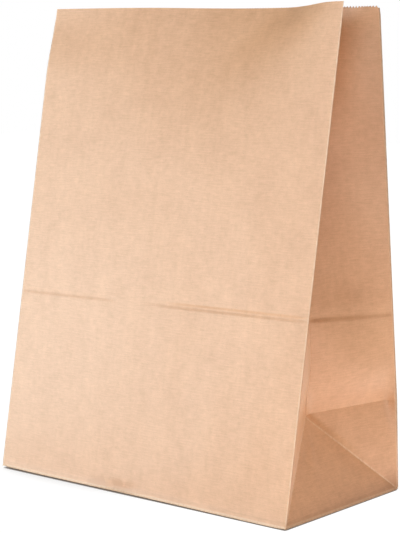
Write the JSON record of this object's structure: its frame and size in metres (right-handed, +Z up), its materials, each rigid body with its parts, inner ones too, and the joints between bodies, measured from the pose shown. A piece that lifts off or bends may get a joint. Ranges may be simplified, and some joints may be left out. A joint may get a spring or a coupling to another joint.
{
  "type": "paper bag",
  "caption": "Brown kraft paper bag standing open, with tucked side gussets, a flat folded foot and a toothed mouth.",
  "frame": {"origin": "on the floor under the middle of the bag's foot", "axes": "+Z up out of the mouth, front panel facing -Y, right gusset on +X"},
  "size_m": [0.255, 0.1303, 0.33],
  "materials": {
    "kraft": "matte"
  },
  "bodies": {
    "root": {"paper_bag": "kraft"}
  },
  "joints": []
}
